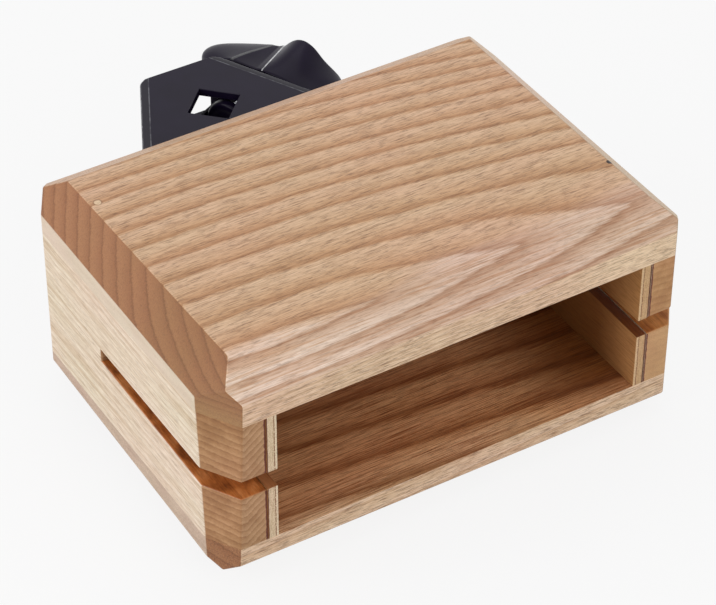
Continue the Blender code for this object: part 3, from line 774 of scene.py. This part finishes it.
def skin(bm, rows, ends=""):
    """Join closed loops of points into a tube. Its ends are capped, joined to each other or left open."""
    loops = [[bm.verts.new(point) for point in row] for row in rows]
    following = loops[1:] + (loops[:1] if ends == "joined" else [])
    for lower, upper in zip(loops, following):
        for index in range(len(lower)):
            after = (index + 1) % len(lower)
            bm.faces.new((lower[index], lower[after], upper[after], upper[index]))
    if ends == "capped":
        bm.faces.new(loops[0])
        bm.faces.new(loops[-1])
    return loops


def rim(bm, loop):
    """The edges round one loop of a tube."""
    return [bm.edges.get((vert, after)) for vert, after in zip(loop, loop[1:] + loop[:1])]


def turned(profile, place, segments=48):
    """Closed loops round an axis, from (along, radius) pairs."""
    rows = []
    for along, radius in profile:
        angles = [2 * pi * index / segments for index in range(segments)]
        rows.append([place(along, radius * cos(angle), radius * sin(angle)) for angle in angles])
    return rows


def make_boards():
    for name, glued, material in (("top_board", CEILING, make_top_wood()),
                                  ("bottom_board", MOUTH_FLOOR, make_bottom_wood())):
        bm = node_mesh(name)
        round_edges(bm, BOARD_EDGE, keep=[(AXIS_Z, glued)])
        piece = add_object(name + "_wood", bm, material, "ash", "block", name)
        weigh_normals(piece)


def make_walls():
    for side, inside in (("left", -WALL_INSIDE), ("right", WALL_INSIDE)):
        name = side + "_wall"
        bm = wedged_mesh(name)
        round_edges(bm, WALL_EDGE, keep=[(AXIS_Z, MOUTH_FLOOR), (AXIS_Z, CEILING), (AXIS_X, inside)])
        piece = add_object(name + "_wood", bm, make_wall_wood(side), "pale_ash", "block", name)
        weigh_normals(piece)

    low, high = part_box("back_wall")
    bm = wedged_mesh("back_wall")
    move_plane(bm, AXIS_X, low.x, -WALL_INSIDE)
    move_plane(bm, AXIS_X, high.x, WALL_INSIDE)
    piece = add_object("back_wall_wood", bm, make_back_wood(), "ash", "block", "back_wall")
    weigh_normals(piece)


def make_liners():
    for side in ("left", "right"):
        name = side + "_liner"
        bm = wedged_mesh(name)
        round_edges(bm, LINER_EDGE, keep=[(AXIS_Z, MOUTH_FLOOR), (AXIS_Z, CEILING)], segments=2)
        piece = add_object(name + "_plies", bm, make_plywood(side), "plywood", "block", name)
        weigh_normals(piece)


def make_housing():
    """The bracket's edges are rounded, and the outer ones carry a painted highlight."""
    bm = node_mesh("bracket_housing")
    outer = []
    inner = []
    for edge in sharp_edges(bm, MOULDED_FROM, [(AXIS_Y, BACK + FLANGE_GAP)]):
        middle = (edge.verts[0].co + edge.verts[1].co) / 2
        outward = abs(middle.x) * SCREW_AXIS.x + (middle.y - SCREW_ORIGIN.y) * SCREW_AXIS.y
        edges = outer if outward > PLATE_REACH - OUTLINE_WITHIN else inner
        edges.append(edge)
    # Painted highlight: the outer edges' bevels take the second, light material.
    bevel(bm, outer, PLASTIC_EDGE, clamped=False, edge_slot=1)
    bevel(bm, [edge for edge in inner if edge.is_valid], 0.5 * PLASTIC_EDGE, clamped=False)
    piece = add_object("bracket_housing_shell", bm, make_bracket_plastic(), "black_plastic", "block",
                       "bracket_housing")
    piece.data.materials.append(make_highlight_plastic("bracket_edge_highlight", (34, 33, 40), (104, 104, 110)))
    weigh_normals(piece)


def close_wings(bm, rows, crease):
    """Cap both ends of the wings with strips from the upper side to the lower one, and crease them."""
    for row in (rows[0], rows[-1]):
        for index in range(WING_COLUMNS - 1):
            bm.faces.new((row[index], row[index + 1], row[-2 - index], row[-1 - index]))
        for edge in rim(bm, row):
            edge[crease] = END_CREASE


def mark_ridges(bm, rows, crease):
    """Crease the ridges and valleys of both sides, and give the ridges their painted highlight materials."""
    for lower, upper in zip(rows, rows[1:]):
        for first in (0, WING_COLUMNS):
            for column, sharpness in CREASES.items():
                bm.edges.get((lower[first + column], upper[first + column]))[crease] = sharpness
            for column, material_slot in ((SHARP_RIDGE, 1), (SOFT_RIDGE, 2)):
                corner, after = lower[first + column], lower[first + column + 1]
                shared = set(corner.link_faces) & set(after.link_faces)
                for facet in shared & set(upper[first + column].link_faces):
                    facet.material_index = material_slot


def make_wing_knob(plastic):
    """Two offset wings, the lower side being the upper one turned by half a turn, on a round hub."""
    face = min(along for along, radius, angle in on_screw("wing_knob"))
    bm = bmesh.new()
    crease = bm.edges.layers.float.new("crease_edge")
    loops = []
    for along, upper in WING_ROWS_MM:
        lower = [(-across, -up) for across, up in upper]
        loops.append([screw_place(face + along * MM, across * MM, up * MM) for across, up in upper + lower])
    rows = skin(bm, loops)
    close_wings(bm, rows, crease)
    mark_ridges(bm, rows, crease)

    rounding = [(0.0, HUB_EDGE), (HUB_EDGE / 4, HUB_EDGE / 4), (HUB_EDGE, 0.0)]
    hub = [(face + inward, HUB_RADIUS - inset) for inward, inset in rounding]
    hub += [(face + HUB_LENGTH - inward, HUB_RADIUS - inset) for inward, inset in reversed(rounding)]
    skin(bm, turned(hub, screw_place, HUB_SIDES), "capped")

    piece = add_object("wing_knob_moulding", bm, plastic, "black_plastic", "wing_screw", "wing_knob")
    # Painted highlights along the sharp ridge and the soft ridge.
    piece.data.materials.append(make_highlight_plastic("sharp_ridge_highlight", (120, 120, 124), (206, 206, 208)))
    piece.data.materials.append(make_highlight_plastic("soft_ridge_highlight", (36, 35, 40), (66, 66, 70)))
    subdivision = piece.modifiers.new("fine_skin", "SUBSURF")
    subdivision.levels = KNOB_SUBDIVISIONS
    subdivision.render_levels = KNOB_SUBDIVISIONS


def make_clamp_screw(steel):
    """The clamp screw: a plain pivot that turns in the pad, and a right-handed thread."""
    points = on_screw("clamp_screw")
    crest = max(radius for along, radius, angle in points)
    tip = min(along for along, radius, angle in points if radius < crest - STEP_WITHIN)
    start = min(along for along, radius, angle in points if radius > crest - STEP_WITHIN)
    end = max(along for along, radius, angle in points)
    pivot_radius = max(radius for along, radius, angle in points if along < start - STEP_WITHIN)
    pivot = [(tip, pivot_radius - PIVOT_CHAMFER), (tip + PIVOT_CHAMFER, pivot_radius), (start, pivot_radius)]
    loops = turned(pivot, screw_place, THREAD_SIDES)
    count = round((end - start) / THREAD_PITCH * THREAD_ROWS)
    for row in range(count + 1):
        along = start + (end - start) * row / count
        near_end = min(along - start, end - along)
        loop = []
        for side in range(THREAD_SIDES):
            turn = side / THREAD_SIDES
            share = ((along - start) / THREAD_PITCH - turn) % 1.0
            radius = crest - THREAD_DEPTH * abs(2 * share - 1)
            radius = min(radius, pivot_radius + THREAD_RUN_IN + near_end)
            loop.append(screw_place(along, radius * cos(2 * pi * turn), radius * sin(2 * pi * turn)))
        loops.append(loop)
    bm = bmesh.new()
    skin(bm, loops, "capped")
    add_object("clamp_screw_thread", bm, steel, "steel", "wing_screw", "clamp_screw")


def make_clamp_nut(steel):
    """A hexagon nut with turned chamfers on both faces."""
    points = on_screw("clamp_nut")
    start = min(along for along, radius, angle in points)
    end = max(along for along, radius, angle in points)
    bore = min(radius for along, radius, angle in points)
    corner, corner_angle = max((radius, angle) for along, radius, angle in points)
    flat = corner * cos(pi / 6)
    rows = [(start, bore)]
    for inward, share in NUT_CHAMFER_ROWS:
        rows.append((start + inward * NUT_CHAMFER, flat * share))
    rows += [(start + end - along, limit) for along, limit in reversed(rows)]
    loops = []
    for along, limit in rows:
        loop = []
        for side in range(NUT_SIDES):
            angle = 2 * pi * side / NUT_SIDES
            off_corner = (angle - corner_angle) % (pi / 3)
            hexagon = flat / cos(off_corner - pi / 6)
            radius = min(hexagon, limit)
            loop.append(screw_place(along, radius * cos(angle), radius * sin(angle)))
        loops.append(loop)
    bm = bmesh.new()
    skin(bm, loops, "joined")
    add_object("clamp_nut_hexagon", bm, steel, "steel", "block", "clamp_nut")


def make_pressure_pad(plastic):
    """The round pad, with a shallow dish in its face and a seat for the screw's pivot."""
    points = on_screw("pressure_pad")
    face = min(along for along, radius, angle in points)
    back = max(along for along, radius, angle in points)
    outside = max(radius for along, radius, angle in points)
    seat = min(radius for along, radius, angle in points if along > back - STEP_WITHIN)
    profile = [(face + depth, share * outside) for depth, share in PAD_DISH_ROWS]
    for step in range(PAD_EDGE_ROWS + 1):
        angle = pi / 2 * step / PAD_EDGE_ROWS
        profile.append((face + PAD_EDGE * (1 - cos(angle)), outside - PAD_EDGE * (1 - sin(angle))))
    profile += [(back - PAD_EDGE / 2, outside), (back, outside - PAD_EDGE / 2), (back, seat),
                (back - PAD_SEAT_DEPTH, seat)]
    bm = bmesh.new()
    skin(bm, turned(profile, screw_place), "capped")
    add_object("pressure_pad_disc", bm, plastic, "black_plastic", "pressure_pad", "pressure_pad")


def cross_outline():
    """The corners of a wood screw's cross recess, as (across, up) pairs."""
    quarter = [(RECESS_ARM, RECESS_HALF_WIDTH), (RECESS_HALF_WIDTH, RECESS_HALF_WIDTH),
               (RECESS_HALF_WIDTH, RECESS_ARM)]
    outline = []
    for turn in range(4):
        for across, up in quarter:
            angle = atan2(up, across) + pi / 2 * turn
            reach = Vector((across, up)).length
            outline.append((reach * cos(angle), reach * sin(angle)))
    return outline


def make_wood_screw(name, steel):
    """A pan head wood screw with a cross recess, pointing into the back of the box."""
    low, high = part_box(name)
    middle_x, middle_z = (low.x + high.x) / 2, (low.z + high.z) / 2
    head_radius = (high.x - low.x) / 2
    seat = high.y - HEAD_HEIGHT

    def place(along, across, up):
        return Vector((middle_x + across, along, middle_z + up))

    profile = [(low.y, TIP_RADIUS), (low.y + TIP_LENGTH, SHANK_RADIUS), (seat, SHANK_RADIUS),
               (seat, head_radius - HEAD_CHAMFER), (seat + HEAD_RIM, head_radius)]
    for step in range(1, HEAD_ROWS + 1):
        angle = pi / 2 * step / HEAD_ROWS
        profile.append((seat + HEAD_HEIGHT * (HEAD_SIDE + (1 - HEAD_SIDE) * sin(angle)),
                        HEAD_TOP_RADIUS + (head_radius - HEAD_TOP_RADIUS) * cos(angle)))
    bm = bmesh.new()
    loops = skin(bm, turned(profile, place, SHANK_SIDES))
    bm.faces.new(loops[0])
    outline = cross_outline()
    upper = [place(high.y, across, up) for across, up in outline]
    lower = [place(high.y - RECESS_DEPTH, across * RECESS_TAPER, up * RECESS_TAPER) for across, up in outline]
    recess = skin(bm, [upper, lower])
    bm.faces.new(recess[1])
    bmesh.ops.triangle_fill(bm, edges=rim(bm, loops[-1]) + rim(bm, recess[0]), use_beauty=True)
    add_object(name + "_cross_head", bm, steel, "steel", "block", name)


def make_camera():
    azimuth, elevation, roll = CAMERA_AZIMUTH, CAMERA_ELEVATION, CAMERA_ROLL
    right = Vector((cos(azimuth), -sin(azimuth), 0))
    up = Vector((sin(azimuth) * sin(elevation), cos(azimuth) * sin(elevation), cos(elevation)))
    back = Vector((-sin(azimuth) * cos(elevation), -cos(azimuth) * cos(elevation), sin(elevation)))
    rolled_right = right * cos(roll) + up * sin(roll)
    rolled_up = up * cos(roll) - right * sin(roll)
    data = bpy.data.cameras.new("camera")
    data.lens = CAMERA_LENS
    data.sensor_width = SENSOR_WIDTH
    camera = bpy.data.objects.new("camera", data)
    turn = Matrix((rolled_right, rolled_up, back)).transposed().to_4x4()
    camera.matrix_world = Matrix.Translation(CAMERA_AIM + back * CAMERA_DISTANCE) @ turn
    bpy.context.scene.collection.objects.link(camera)
    bpy.context.scene.camera = camera


def seen_directly(tree):
    """1 for camera, glossy and transmission rays, else 0."""
    path = tree.nodes.new("ShaderNodeLightPath")
    total = path.outputs["Is Camera Ray"]
    for name in ("Is Glossy Ray", "Is Transmission Ray"):
        either = tree.nodes.new("ShaderNodeMath")
        either.operation = "MAXIMUM"
        tree.links.new(total, either.inputs[0])
        tree.links.new(path.outputs[name], either.inputs[1])
        total = either.outputs[0]
    return total


def mix_shaders(tree, factor, first, second, output):
    mix = tree.nodes.new("ShaderNodeMixShader")
    for socket, source in zip(mix.inputs, (factor, first, second)):
        tree.links.new(source, socket)
    tree.links.new(mix.outputs[0], tree.nodes[output].inputs["Surface"])


def make_world():
    """An even white sky gives light, and the camera sees a plain light grey in its place."""
    world = bpy.data.worlds.new("studio")
    world.use_nodes = True
    tree = world.node_tree
    sky = tree.nodes["Background"]
    backdrop = tree.nodes.new("ShaderNodeBackground")
    for background, strength in ((sky, SKY_STRENGTH), (backdrop, BACKGROUND_LEVEL)):
        background.inputs["Color"].default_value = (1, 1, 1, 1)
        background.inputs["Strength"].default_value = strength
    mix_shaders(tree, seen_directly(tree), sky.outputs[0], backdrop.outputs[0], "World Output")
    bpy.context.scene.world = world


def make_floor():
    """A matt floor that mostly glows where the camera sees it, so that its shadow is faint."""
    n = Shading("floor")
    n.finish(linear(FLOOR_COLOR), 0.9, specular=0.0)
    glow = n.tree.nodes.new("ShaderNodeEmission")
    glow.inputs["Strength"].default_value = FLOOR_GLOW
    share = n.times(seen_directly(n.tree), FLOOR_GLOW_SHARE)
    mix_shaders(n.tree, share, n.shader.outputs[0], glow.outputs[0], "Material Output")
    mesh = bpy.data.meshes.new("floor")
    half = FLOOR_SIZE / 2
    corners = [(-half, -half, 0), (half, -half, 0), (half, half, 0), (-half, half, 0)]
    mesh.from_pydata(corners, [], [(0, 1, 2, 3)])
    mesh.materials.append(n.material)
    floor = bpy.data.objects.new("floor", mesh)
    bpy.context.scene.collection.objects.link(floor)


def make_lamp(name, place, power):
    """A square soft box that points at the middle of the box."""
    data = bpy.data.lights.new(name, "AREA")
    data.size = LAMP_SIZE
    data.energy = power
    lamp = bpy.data.objects.new(name, data)
    lamp.location = place
    lamp.rotation_euler = (LAMP_AIM - Vector(place)).to_track_quat("-Z", "Y").to_euler()
    bpy.context.scene.collection.objects.link(lamp)


plastic = make_black_plastic()
steel = make_steel()
make_boards()
make_walls()
make_liners()
make_housing()
make_wing_knob(plastic)
make_pressure_pad(plastic)
make_clamp_screw(steel)
make_clamp_nut(steel)
for number in range(1, 5):
    make_wood_screw(f"bracket_screw_{number}", steel)
make_camera()
make_world()
make_floor()
for name, place, power in LAMPS:
    make_lamp(name, place, power)
bpy.context.scene.view_settings.view_transform = "Standard"
